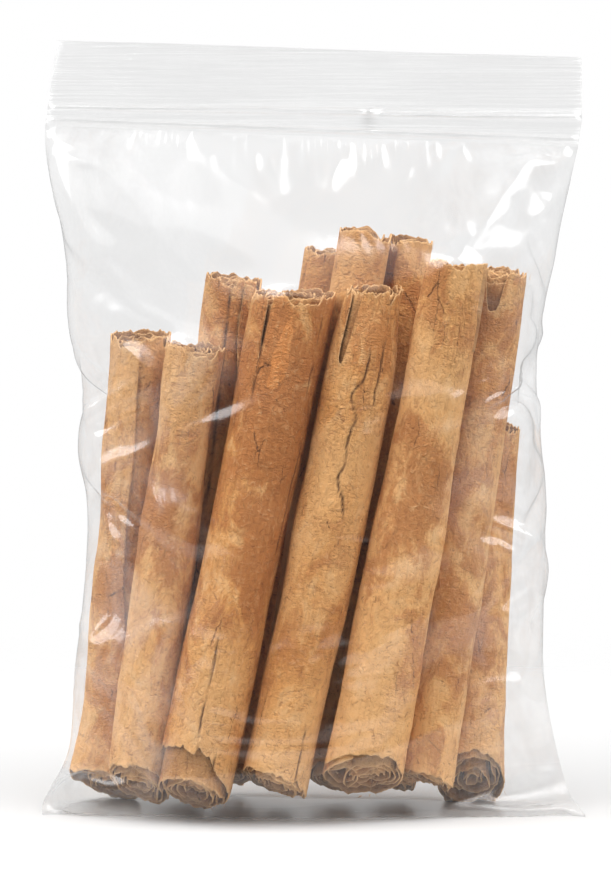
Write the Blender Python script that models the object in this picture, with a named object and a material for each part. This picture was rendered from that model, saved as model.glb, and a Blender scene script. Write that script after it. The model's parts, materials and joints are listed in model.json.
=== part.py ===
"""Clear grip-seal bag of thick cinnamon quills, standing on the cut ends of its quills.

The filled, shut bag is one closed solid. Its film is drawn tight round twelve quills that
lean to one side, narrows to the flat grip-seal header above them, and runs out at the floor
into the two corners of the bag. X runs to the right, the shown side faces -Y, Z is up, and
the origin is at the middle of the base. Sizes are in millimetres until the mesh is made.
"""

import math
from dataclasses import dataclass

import bmesh
import bpy
import numpy as np

MM = 0.001

# The bag, as it stands
BAG_WIDTH = 127.6
SEAM_BEAD = 0.5  # radius of the welded side edge
SEAM_FOOT_Y = -2.5  # where the side seams meet the floor
SEAM_LEAN = 0.06  # how far the seams lean back for each millimetre of height
HEEL = 2.5  # radius at which the film turns in under the quills
FILM_GAP = 0.8  # how far the film stands off the quills that it is drawn round
DIP_SHARE = 0.4  # share of the gap between two quills that the film sinks into
DIP_LIMIT = 2.6  # the deepest that it sinks
DIP_TOP = 136.0  # height at which the dips have died out
DIP_FADE = 26.0  # height over which they die out below that
HEAD_OPENING = 0.5  # how fast the film leaves a quill above its head
EDGE_FADE = 8.0  # distance from a side seam over which folds and dips die out

# Height and place of each side seam: it is drawn in at the quills, and flares at both ends
LEFT_SEAM = ((0, -63.8), (3, -62), (9, -57.7), (14, -55.4), (33, -54.5), (50, -52),
             (66, -51.3), (96, -52.2), (119, -53.1), (142, -58.2), (153, -61.4), (160, -60.7))
RIGHT_SEAM = ((0, 63.8), (8, 61), (17, 57.7), (27, 55.4), (38, 54.3), (61, 55.4),
              (84, 53.8), (96, 52.9), (119, 55), (142, 59.6), (153, 62.3), (160, 63.5))

# The header: height at its left and right end, and half its thickness there
ZIP_FOOT = (159.4, 154.4, 0.6)
HEADER = (ZIP_FOOT,
          (160.0, 155.2, 1.1), (161.0, 156.4, 1.1),  # lower track
          (161.7, 157.4, 0.7), (162.2, 160.4, 0.7),
          (162.6, 161.0, 1.3), (163.6, 162.0, 1.3),  # upper track
          (164.3, 162.8, 0.6), (169.0, 166.7, 0.6), (174.0, 170.8, 0.6), (178.6, 174.6, 0.6))
LIP_LEFT = -58.0  # the lip's free edge is a little narrower at its left end
LIP_WAVE = 0.7  # how far the lip waves forwards and back
LIP_WAVE_LENGTH = 74.0

# The film's rings from the floor to the foot of the header
RING_HEIGHTS = (0, 0.7, 1.6, 3, 5, 7.5, 10.5, 14, 18, 23, 29, 36, 43, 50, 58, 66, 74, 82, 90,
                98, 105, 111, 116, 120.5, 125, 129, 133, 137, 141, 145, 149, 152.5, 155.5)
TILT_START = 120.0  # above this the rings turn to follow the header's tilt
FACE_STEPS = 48  # steps across the front, and across the back
ARC_STEPS = 20  # points round each quill when the film is drawn tight


@dataclass(frozen=True)
class Quill:
    """One rolled quill: the middle of its foot and of its head, its height and its radius."""

    foot: tuple
    head: tuple
    height: float
    radius: float

    def middle(self, z):
        """Return where the quill's axis is at a height."""
        share = min(max(z / self.height, 0.0), 1.0)
        return tuple(a + (b - a) * share for a, b in zip(self.foot, self.head))


# Seven quills in front from left to right, then the five that show behind and between them
QUILLS = (
    Quill((-48.5, 5.2), (-39, 6), 111, 7.5),
    Quill((-40, -7.5), (-25.5, -4.5), 109, 7.8),
    Quill((-25, -15.5), (-3, -4.5), 121, 9.2),
    Quill((-7, -15.5), (16, -6.5), 122, 7.6),
    Quill((11, -14.5), (34, -8.5), 128, 7.7),
    Quill((26, -7.5), (44.5, 2.5), 126, 7.5),
    Quill((38.5, 3.5), (43.5, 16), 89, 8.2),
    Quill((-32, 7.5), (-19.5, 12.5), 124, 7.2),
    Quill((-19, 12.5), (5, 18.5), 130, 6.2),
    Quill((-9.5, 0.5), (12, 7.5), 134, 6.2),
    Quill((5.5, 0), (24.5, 8.5), 133, 6.2),
    Quill((19.5, 6), (28.5, 17), 108, 6.4),
)


@dataclass(frozen=True)
class Fold:
    """A tension fold that stands proud of the film, between two places on its face (x, z)."""

    start: tuple
    end: tuple
    height: float
    width: float
    side: int  # -1 on the shown face, 1 on the back

    END_SHARE = 0.15  # how much of a fold's swell is left out at each of its ends

    def rise(self, x, z):
        """Return how far the fold lifts the film at a place on its face."""
        along = (self.end[0] - self.start[0], self.end[1] - self.start[1])
        away = (x - self.start[0], z - self.start[1])
        length_squared = along[0] ** 2 + along[1] ** 2
        share = (away[0] * along[0] + away[1] * along[1]) / length_squared
        share = min(max(share, 0.0), 1.0)
        gap = math.hypot(away[0] - along[0] * share, away[1] - along[1] * share)
        fade = math.sin(math.pi * (self.END_SHARE + (1 - 2 * self.END_SHARE) * share))
        return self.height * fade * math.exp(-((gap / self.width) ** 2))


FOLDS = (
    Fold((57, 152), (22, 124), 2.2, 4.0, -1),
    Fold((-57, 152), (-28, 114), 2.0, 4.0, -1),
    Fold((-56, 140), (-34, 116), 1.6, 3.5, -1),
    Fold((-30, 156), (-12, 128), 1.4, 4.5, -1),
    Fold((30, 154), (22, 132), 1.2, 4.0, -1),
    Fold((-50, 60), (-46, 118), 1.2, 3.5, -1),
    Fold((-49, 88), (-38, 70), 1.2, 3.0, -1),
    Fold((52, 110), (47, 60), 1.2, 3.5, -1),
    Fold((55, 150), (28, 122), 2.0, 4.5, 1),
    Fold((-55, 150), (-20, 122), 2.0, 4.5, 1),
    Fold((50, 100), (40, 50), 1.2, 4.0, 1),
)


def clear_scene():
    """Remove every object of the start-up scene."""
    for old in list(bpy.data.objects):
        bpy.data.objects.remove(old, do_unlink=True)


def circle(centre, radius):
    """Return points round a circle."""
    turns = (2 * math.pi * step / ARC_STEPS for step in range(ARC_STEPS))
    return [(centre[0] + radius * math.cos(a), centre[1] + radius * math.sin(a)) for a in turns]


def seam_y(z):
    """Return how far back the side seams are at a height."""
    return SEAM_FOOT_Y + SEAM_LEAN * z


def seam_x(profile, z):
    """Return a side seam's place at a height."""
    heights, places = zip(*profile)
    return float(np.interp(z, heights, places))


def heel_inset(z):
    """Return how far the film is drawn in where it turns under the quills."""
    if z >= HEEL:
        return 0.0
    return HEEL - math.sqrt(HEEL**2 - (HEEL - z) ** 2)


def quill_outlines(z):
    """Return the circles that the film is drawn round at a height.

    Beside a quill that is its own circle. Above its head the film runs straight to the
    header, so the circle shrinks as it moves out to each end of the header.
    """
    zip_height = (ZIP_FOOT[0] + ZIP_FOOT[1]) / 2
    points = []
    for quill in QUILLS:
        if z <= quill.height:
            points += circle(quill.middle(z), quill.radius + FILM_GAP - heel_inset(z))
            continue
        share = (z - quill.height) / (zip_height - quill.height)
        for profile in (LEFT_SEAM, RIGHT_SEAM):
            end = (seam_x(profile, zip_height), seam_y(zip_height))
            centre = tuple(a + (b - a) * share for a, b in zip(quill.head, end))
            points += circle(centre, (quill.radius + FILM_GAP) * (1 - share))
    return points


def dip(x, y, z, side):
    """Return how far the film sinks between two quills at a place on its face.

    Args:
        x: Place across the bag.
        y: Place of the film drawn tight there.
        z: Height.
        side: -1 on the shown face, 1 on the back.
    """
    gaps = []
    for quill in QUILLS:
        middle_x, middle_y = quill.middle(z)
        reach = quill.radius**2 - (x - middle_x) ** 2
        if reach > 0:
            above = max(z - quill.height, 0.0) * HEAD_OPENING
            gaps.append(side * (y - middle_y) - math.sqrt(reach) - FILM_GAP + above)
    fade = min(max((DIP_TOP - z) / DIP_FADE, 0.0), 1.0)
    return fade * min(max(min(gaps, default=0.0) * DIP_SHARE, 0.0), DIP_LIMIT)


def chain(points, sign):
    """Return one side of a convex hull, from its left end to its right end.

    Args:
        points: The points to go round.
        sign: 1 for the side towards -Y, -1 for the side towards +Y.
    """
    run = []
    for point in sorted(points):
        while len(run) > 1:
            (ax, ay), (bx, by) = run[-2], run[-1]
            if sign * ((bx - ax) * (point[1] - ay) - (by - ay) * (point[0] - ax)) > 0:
                break
            run.pop()
        run.append(point)
    return run


def spread(run, steps):
    """Return points at even distances along a run, both ends included."""
    run = np.array(run)
    lengths = np.concatenate([[0.0], np.cumsum(np.hypot(*np.diff(run, axis=0).T))])
    places = np.linspace(0.0, lengths[-1], steps + 1)
    return list(zip(np.interp(places, lengths, run[:, 0]), np.interp(places, lengths, run[:, 1])))


def around(points):
    """Return a ring round the points: across the front to the right, and back behind."""
    front = spread(chain(points, 1), FACE_STEPS)
    back = spread(chain(points, -1), FACE_STEPS)
    return front + back[-2:0:-1]


def body_ring(z):
    """Return the film's ring at a height below the header, as points (x, y, z)."""
    ends = [(seam_x(profile, z), seam_y(z)) for profile in (LEFT_SEAM, RIGHT_SEAM)]
    points = [(min(max(x, ends[0][0]), ends[1][0]), y) for x, y in quill_outlines(z)]
    points += circle(ends[0], SEAM_BEAD) + circle(ends[1], SEAM_BEAD)
    turn = min(max((z - TILT_START) / (ZIP_FOOT[0] - TILT_START), 0.0), 1.0)
    slope = turn**2 * (ZIP_FOOT[1] - ZIP_FOOT[0]) / BAG_WIDTH
    ring = []
    for place, (x, y) in enumerate(around(points)):
        side = -1 if place <= FACE_STEPS else 1
        rise = sum(fold.rise(x, z) for fold in FOLDS if fold.side == side)
        rise -= dip(x, y, z, side)
        edge = min(1.0, (x - ends[0][0]) / EDGE_FADE, (ends[1][0] - x) / EDGE_FADE)
        ring.append((x, y + side * rise * max(edge, 0.0), z + slope * x))
    return ring


def header_ring(left_z, right_z, half_thickness):
    """Return a ring of the flat header, which slopes from its left end to its right."""
    middle_z = (left_z + right_z) / 2
    base_z = (HEADER[0][0] + HEADER[0][1]) / 2
    top_z = (HEADER[-1][0] + HEADER[-1][1]) / 2
    share = (middle_z - base_z) / (top_z - base_z)
    left = seam_x(LEFT_SEAM, base_z)
    left += (LIP_LEFT - left) * share
    right = seam_x(RIGHT_SEAM, base_z)
    points = circle((left, 0), half_thickness) + circle((right, 0), half_thickness)
    ring = []
    for x, y in around(points):
        wave = share * LIP_WAVE * math.sin(2 * math.pi * x / LIP_WAVE_LENGTH)
        z = left_z + (right_z - left_z) * (x - left) / (right - left)
        ring.append((x, y + wave + seam_y(middle_z), z))
    return ring


def loft(name, rings):
    """Return a closed mesh object through rings of equal count, capped at both ends."""
    mesh = bmesh.new()
    loops = [[mesh.verts.new([value * MM for value in point]) for point in ring] for ring in rings]
    for lower, upper in zip(loops, loops[1:]):
        for here in range(len(lower)):
            after = (here + 1) % len(lower)
            mesh.faces.new((lower[here], lower[after], upper[after], upper[here]))
    mesh.faces.new(loops[0][::-1])
    mesh.faces.new(loops[-1])
    bmesh.ops.recalc_face_normals(mesh, faces=mesh.faces)
    data = bpy.data.meshes.new(name)
    mesh.to_mesh(data)
    mesh.free()
    return bpy.data.objects.new(name, data)


def centre_on_base(thing):
    """Shift a mesh sideways, so that the middle of its box stands over the origin."""
    places = np.array([vertex.co for vertex in thing.data.vertices])
    middle = (places.min(axis=0) + places.max(axis=0)) / 2
    for vertex in thing.data.vertices:
        vertex.co.x -= middle[0]
        vertex.co.y -= middle[1]


def film_material():
    """Return the colour of the filled bag: tan quills under clear, glossy film."""
    material = bpy.data.materials.new("clear_film_over_quills")
    material.use_nodes = True
    shader = material.node_tree.nodes["Principled BSDF"]
    shader.inputs["Base Color"].default_value = (0.60, 0.36, 0.18, 1.0)
    shader.inputs["Roughness"].default_value = 0.18
    shader.inputs["Metallic"].default_value = 0.0
    return material


def main():
    """Build the bag in a collection of its own."""
    clear_scene()
    collection = bpy.data.collections.new("cinnamon_quill_bag")
    bpy.context.scene.collection.children.link(collection)
    rings = [body_ring(z) for z in RING_HEIGHTS]
    rings += [header_ring(*level) for level in HEADER]
    bag = loft("bag", rings)
    centre_on_base(bag)
    bag.data.materials.append(film_material())
    collection.objects.link(bag)


main()
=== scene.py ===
"""Looks of the grip-seal bag of cinnamon quills: bark, clear film, header, floor and light.

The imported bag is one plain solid. Here twelve rolled quills take its place, with the clear
film drawn round them and the flat grip-seal header above. Lengths are in millimetres until a
mesh is made, in the frame's own axes: X to the right, the shown side facing -Y, Z up.
"""

import json
import logging
import math
from dataclasses import dataclass, field
from enum import Enum

import bpy
import numpy as np
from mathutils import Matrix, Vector

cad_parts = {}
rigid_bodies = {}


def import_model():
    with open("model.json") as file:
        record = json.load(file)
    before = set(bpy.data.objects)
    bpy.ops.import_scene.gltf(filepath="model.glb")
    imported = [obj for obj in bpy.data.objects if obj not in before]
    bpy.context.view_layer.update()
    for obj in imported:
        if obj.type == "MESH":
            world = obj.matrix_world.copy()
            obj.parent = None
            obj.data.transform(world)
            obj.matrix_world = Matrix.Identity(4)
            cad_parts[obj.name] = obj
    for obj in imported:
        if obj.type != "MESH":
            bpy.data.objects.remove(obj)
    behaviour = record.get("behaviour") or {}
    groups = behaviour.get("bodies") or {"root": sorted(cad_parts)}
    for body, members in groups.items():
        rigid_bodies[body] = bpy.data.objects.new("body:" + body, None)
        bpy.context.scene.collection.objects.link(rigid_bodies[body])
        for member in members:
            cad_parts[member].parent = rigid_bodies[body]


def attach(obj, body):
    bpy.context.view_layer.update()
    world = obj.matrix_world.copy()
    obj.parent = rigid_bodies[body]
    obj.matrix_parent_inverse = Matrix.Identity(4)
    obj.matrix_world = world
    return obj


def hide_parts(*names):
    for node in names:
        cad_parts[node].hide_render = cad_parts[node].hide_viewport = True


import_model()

MM = 0.001
LOG = logging.getLogger("quill_bag")
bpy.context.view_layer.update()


# ---------------------------------------------------------------- shader expressions


class Wire:
    """A shader socket that takes part in Python arithmetic by adding Math nodes."""

    def __init__(self, shade: "Shade", socket: bpy.types.NodeSocket) -> None:
        """Wrap a socket of a material that is being built."""
        self.shade = shade
        self.socket = socket

    def _math(self, operation: str, *values: "Wire | float") -> "Wire":
        """Return the result of one Math node."""
        return self.shade.node("ShaderNodeMath", {"operation": operation}, dict(enumerate(values)))

    def __add__(self, other: "Wire | float") -> "Wire":
        """Return the sum."""
        return self._math("ADD", self, other)

    __radd__ = __add__

    def __mul__(self, other: "Wire | float") -> "Wire":
        """Return the product."""
        return self._math("MULTIPLY", self, other)

    __rmul__ = __mul__

    def __sub__(self, other: "Wire | float") -> "Wire":
        """Return the difference."""
        return self._math("SUBTRACT", self, other)

    def __rsub__(self, other: float) -> "Wire":
        """Return the difference, taken the other way round."""
        return self._math("SUBTRACT", other, self)

    def __truediv__(self, other: "Wire | float") -> "Wire":
        """Return the quotient."""
        return self._math("DIVIDE", self, other)

    def __pow__(self, other: "Wire | float") -> "Wire":
        """Return the power."""
        return self._math("POWER", self, other)

    def most(self, other: "Wire | float") -> "Wire":
        """Return the larger of two values."""
        return self._math("MAXIMUM", self, other)

    def least(self, other: "Wire | float") -> "Wire":
        """Return the smaller of two values."""
        return self._math("MINIMUM", self, other)

    def size(self) -> "Wire":
        """Return the value without its sign."""
        return self._math("ABSOLUTE", self)

    def rise(self, low: float, high: float) -> "Wire":
        """Return a smooth step from 0 at low to 1 at high."""
        settings = {"interpolation_type": "SMOOTHSTEP"}
        return self.shade.node("ShaderNodeMapRange", settings, {0: self, 1: low, 2: high})


class Shade:
    """The node tree of a material or of the world, built with one method that adds any node."""

    def __init__(self, owner: bpy.types.Material | bpy.types.World) -> None:
        """Empty the owner's node tree."""
        owner.use_nodes = True
        self.owner = owner
        self.tree = owner.node_tree
        self.tree.nodes.clear()

    def node(self, kind: str, settings: dict | None = None, inputs: dict | None = None,
             output: int | str = 0) -> Wire:
        """Add a node and return one of its outputs.

        Args:
            kind: The node's type.
            settings: Its own settings, set first; "stops" fills a colour ramp.
            inputs: Values or wires by the name or number of the socket.
            output: The socket to return.

        Returns:
            The output, ready for arithmetic.
        """
        made = self.tree.nodes.new(kind)
        for key, value in (settings or {}).items():
            if key == "stops":
                self._fill_ramp(made, value)
            else:
                setattr(made, key, value)
        for key, value in (inputs or {}).items():
            if isinstance(value, Wire):
                self.tree.links.new(value.socket, made.inputs[key])
            else:
                made.inputs[key].default_value = value
        return Wire(self, made.outputs[output])

    @staticmethod
    def _fill_ramp(made: bpy.types.Node, stops: list) -> None:
        """Give a colour ramp its stops, as pairs of place and colour."""
        elements = made.color_ramp.elements
        while len(elements) < len(stops):
            elements.new(0.5)
        for element, (place, colour) in zip(elements, stops):
            element.position = place
            element.color = (*colour, 1.0)

    def mix(self, share: Wire | float, first: Wire | tuple, second: Wire | tuple,
            blend: str = "MIX") -> Wire:
        """Return a blend of two colours."""
        ends = [end if isinstance(end, Wire) else (*end, 1.0) for end in (first, second)]
        settings = {"data_type": "RGBA", "blend_type": blend}
        return self.node("ShaderNodeMix", settings, {0: share, 6: ends[0], 7: ends[1]}, 2)

    def noise(self, place: Wire, scale: float, detail: float = 3.0, roughness: float = 0.5,
              distortion: float = 0.0) -> Wire:
        """Return a noise value from 0 to 1."""
        inputs = {"Vector": place, "Scale": scale, "Detail": detail, "Roughness": roughness,
                  "Distortion": distortion}
        return self.node("ShaderNodeTexNoise", None, inputs)

    def stretch(self, place: Wire, scale: tuple, shift: tuple = (0.0, 0.0, 0.0)) -> Wire:
        """Return a place scaled on each axis, then shifted."""
        inputs = {"Vector": place, "Scale": scale, "Location": shift}
        return self.node("ShaderNodeMapping", None, inputs)

    def finish(self, surface: Wire) -> bpy.types.Material | bpy.types.World:
        """Join the surface to the output and return the owner."""
        kind = "World" if isinstance(self.owner, bpy.types.World) else "Material"
        out = self.tree.nodes.new(f"ShaderNodeOutput{kind}")
        self.tree.links.new(surface.socket, out.inputs["Surface"])
        return self.owner


# ---------------------------------------------------------------- helpers for shape


class Grain:
    """Smooth, seeded noise over a plane, from -1 to 1."""

    SIZE = 256

    def __init__(self, seed: int) -> None:
        """Draw the lattice that the noise runs between."""
        self.lattice = np.random.default_rng(seed).uniform(-1, 1, (self.SIZE, self.SIZE))

    def at(self, u: np.ndarray, v: np.ndarray) -> np.ndarray:
        """Return the noise at places whose grain is one unit across."""
        low_u, low_v = np.floor(u).astype(int), np.floor(v).astype(int)
        part_u, part_v = u - low_u, v - low_v
        part_u, part_v = part_u**2 * (3 - 2 * part_u), part_v**2 * (3 - 2 * part_v)
        i, j = low_u % self.SIZE, low_v % self.SIZE
        i_next, j_next = (i + 1) % self.SIZE, (j + 1) % self.SIZE
        near = self.lattice[i, j] * (1 - part_u) + self.lattice[i_next, j] * part_u
        far = self.lattice[i, j_next] * (1 - part_u) + self.lattice[i_next, j_next] * part_u
        return near * (1 - part_v) + far * part_v

    def layered(self, u: np.ndarray, v: np.ndarray, octaves: int = 3) -> np.ndarray:
        """Return noise with finer layers added, each half as strong."""
        total = sum(self.at(u * 2**k + 17 * k, v * 2**k + 31 * k) / 2**k for k in range(octaves))
        return total / 1.6


@dataclass
class Surface:
    """A mesh in the making: points, faces, lengthwise places and named values at the points."""

    points: list = field(default_factory=list)
    faces: list = field(default_factory=list)
    places: list = field(default_factory=list)
    values: dict = field(default_factory=dict)
    count: int = 0

    def add_grid(self, points: np.ndarray, places: np.ndarray, values: dict) -> None:
        """Add a grid of quads.

        Args:
            points: Rows of columns of places, in millimetres.
            places: For each of them its distance round and along the bark.
            values: For each name an array over the same grid.
        """
        rows, columns = points.shape[:2]
        index = np.arange(rows * columns).reshape(rows, columns) + self.count
        corners = (index[:-1, :-1], index[:-1, 1:], index[1:, 1:], index[1:, :-1])
        self.faces.append(np.stack(corners, axis=-1).reshape(-1, 4))
        self.points.append(points.reshape(-1, 3))
        self.places.append(places.reshape(-1, 2))
        for name, value in values.items():
            self.values.setdefault(name, []).append(np.broadcast_to(value, (rows, columns)).ravel())
        self.count += rows * columns

    def make(self, name: str, material: bpy.types.Material) -> bpy.types.Object:
        """Return the smooth mesh object in metres, with its places as UVs."""
        points = np.concatenate(self.points) * MM
        faces = np.concatenate(self.faces)
        mesh = bpy.data.meshes.new(name)
        mesh.from_pydata(points.tolist(), [], faces.tolist())
        layer = mesh.uv_layers.new(name="place")
        layer.data.foreach_set("uv", np.concatenate(self.places)[faces.ravel()].ravel())
        for key, value in self.values.items():
            attribute = mesh.attributes.new(key, "FLOAT", "POINT")
            attribute.data.foreach_set("value", np.concatenate(value).astype(np.float32))
        mesh.polygons.foreach_set("use_smooth", np.ones(len(faces), dtype=bool))
        mesh.materials.append(material)
        mesh.update()
        made = bpy.data.objects.new(name, mesh)
        bpy.context.scene.collection.objects.link(made)
        return made


# ---------------------------------------------------------------- bark


@dataclass(frozen=True)
class BarkFinish:
    """Dry layered bark: tan, fibrous along the quill, mottled red-brown and finely cracked."""

    name: str
    tan: tuple = (0.86, 0.465, 0.180)
    amber: tuple = (0.76, 0.358, 0.106)
    red: tuple = (0.480, 0.165, 0.045)
    brown: tuple = (0.270, 0.090, 0.028)
    pale: tuple = (0.90, 0.57, 0.28)
    dark: tuple = (0.105, 0.040, 0.016)
    # near black: painted shade deep inside the mouths
    hollow_shade: tuple = (0.100, 0.037, 0.014)
    mottling: float = 0.5
    amber_share: float = 0.5
    crackle: float = 0.5
    shift: float = 0.0

    def material(self) -> bpy.types.Material:
        """Return the bark's material."""
        shade = Shade(bpy.data.materials.new(self.name))
        flat = shade.node("ShaderNodeUVMap", {"uv_map": "place"})
        offset = (self.shift, self.shift * 1.7, self.shift)
        broad = shade.noise(shade.stretch(flat, (0.060, 0.030, 1), offset), 1.0, 2, 0.5, 0.3)
        patch = shade.noise(shade.stretch(flat, (0.17, 0.095, 1), offset), 1.0, 4, 0.66, 0.7)
        fleck = shade.noise(shade.stretch(flat, (0.70, 0.66, 1), offset), 1.0, 4, 0.72, 1.0)
        fibre = shade.noise(shade.stretch(flat, (1.9, 0.15, 1), offset), 1.0, 3, 0.68, 0.3)
        crinkle = shade.noise(shade.stretch(flat, (0.45, 0.95, 1), offset), 1.0, 2, 0.6, 1.4)

        stain = shade.node("ShaderNodeAttribute", {"attribute_name": "stain"}, None, "Fac")
        colour = shade.mix((broad + self.amber_share - 0.5).rise(0.36, 0.66), self.tan, self.amber)
        # paler below zero: pale bark in places, and painted bounce light from the floor on the feet of
        # the front quills
        paler_bark_and_foot_light = (-1 * stain).most(0.0) * 0.35
        colour = shade.mix((0.50 - patch).rise(0.0, 0.20) * 0.5 + paler_bark_and_foot_light, colour, self.pale)
        lean = stain * 0.13 + (self.mottling * 0.16 - 0.08)
        red = (patch * 0.50 + broad * 0.22 + fleck * 0.28 + lean).rise(0.475, 0.575)
        colour = shade.mix(red * min(1.0, 0.5 + self.mottling * 0.4), colour, self.red)
        colour = shade.mix((fibre - 0.54).most(0.0) * 0.7 + (fleck - 0.55).most(0.0) * 2.8,
                           colour, self.pale)
        dusk = (0.47 - fibre).most(0.0) * 0.9 + (0.45 - fleck).most(0.0) * 3.6
        worms = (broad + patch * 0.4).rise(0.62, 0.74)
        dusk = dusk + (0.46 - crinkle).most(0.0) * 2.2 * worms
        colour = shade.mix(dusk, colour, self.brown)

        hairline = self._hairlines(shade, flat, offset, patch, broad)
        crack, inside, deep, edge = (
            shade.node("ShaderNodeAttribute", {"attribute_name": key}, None, "Fac")
            for key in ("crack", "inside", "deep", "edge"))
        # painted shade: inner faces and inner rolls darken to a dark brown, and deep in the mouths to
        # near black
        colour = shade.mix(inside * 0.75, colour, (0.33, 0.145, 0.058))
        colour = shade.mix(deep * 0.9, colour, self.hollow_shade)
        colour = shade.mix(edge * (0.2 + 0.9 * fibre), colour, self.pale)
        colour = shade.mix((hairline * 0.75).most(crack), colour, self.dark)

        height = fibre * 0.4 + fleck * 1.3 + crinkle * 0.7 * worms - hairline * 0.6
        bump = shade.node("ShaderNodeBump", None, {"Strength": 1.0, "Distance": 0.72 * MM,
                                                   "Height": height})
        surface = shade.node("ShaderNodeBsdfPrincipled", None, {
            "Base Color": colour, "Roughness": 0.58 + 0.3 * fleck, "Normal": bump,
            "Specular IOR Level": 0.3})
        return shade.finish(surface)

    def _hairlines(self, shade: Shade, flat: Wire, offset: tuple, patch: Wire,
                   broad: Wire) -> Wire:
        """Return where short jagged cracks run along the bark, from 0 to 1."""
        drift = shade.node("ShaderNodeTexNoise", None,
                           {"Vector": shade.stretch(flat, (0.5, 0.42, 1)), "Scale": 1.0,
                            "Detail": 4.0, "Roughness": 0.7}, "Color")
        jag = shade.node("ShaderNodeVectorMath", {"operation": "MULTIPLY"},
                         {0: drift, 1: (0.42, 0.10, 0.0)})
        warped = shade.node("ShaderNodeVectorMath", {"operation": "ADD"},
                            {0: shade.stretch(flat, (0.22, 0.045, 1), offset), 1: jag})
        cell = {"feature": "DISTANCE_TO_EDGE", "voronoi_dimensions": "2D"}
        net = shade.node("ShaderNodeTexVoronoi", cell, {"Vector": warped, "Scale": 1.0}, "Distance")
        gate = (patch + self.crackle * 0.12).rise(0.60, 0.68) * broad.rise(0.42, 0.54)
        return (1 - net.rise(0.003, 0.022)) * gate


class Winding(Enum):
    """Which way a sheet rolls inwards from its free edge, seen from above."""

    LEFT = -1
    RIGHT = 1


@dataclass(frozen=True)
class Crack:
    """A split in the outer layer: its angle from the front, its ends along the quill."""

    angle: float
    start: float
    end: float
    width: float = 0.22
    depth: float = 0.35
    wander: float = 0.8


@dataclass(frozen=True)
class Notch:
    """A gap broken out of an end: its angle from the front, width and depth."""

    angle: float
    width: float
    depth: float
    at_head: bool = True
    through: bool = False  # whether the inner layers are broken too


@dataclass(frozen=True)
class StainAndFootLight:
    """A redder patch of bark, or a paler one if its strength is below zero; the paler ones low on the
    front quills are painted light, standing in for the floor's bounce light on the feet.
    """

    height: float
    tall: float
    strength: float
    angle: float = 0.0
    wide: float = 9.0


@dataclass(frozen=True)
class Roll:
    """One scroll of bark inside a quill's mouths, set off its axis to the right and front."""

    side: float
    ahead: float
    radius: float
    turns: float
    seam: float
    begin: float = 0.0
    core: float = 1.5
    pitch: float = 0.85
    way: int = 1


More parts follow.
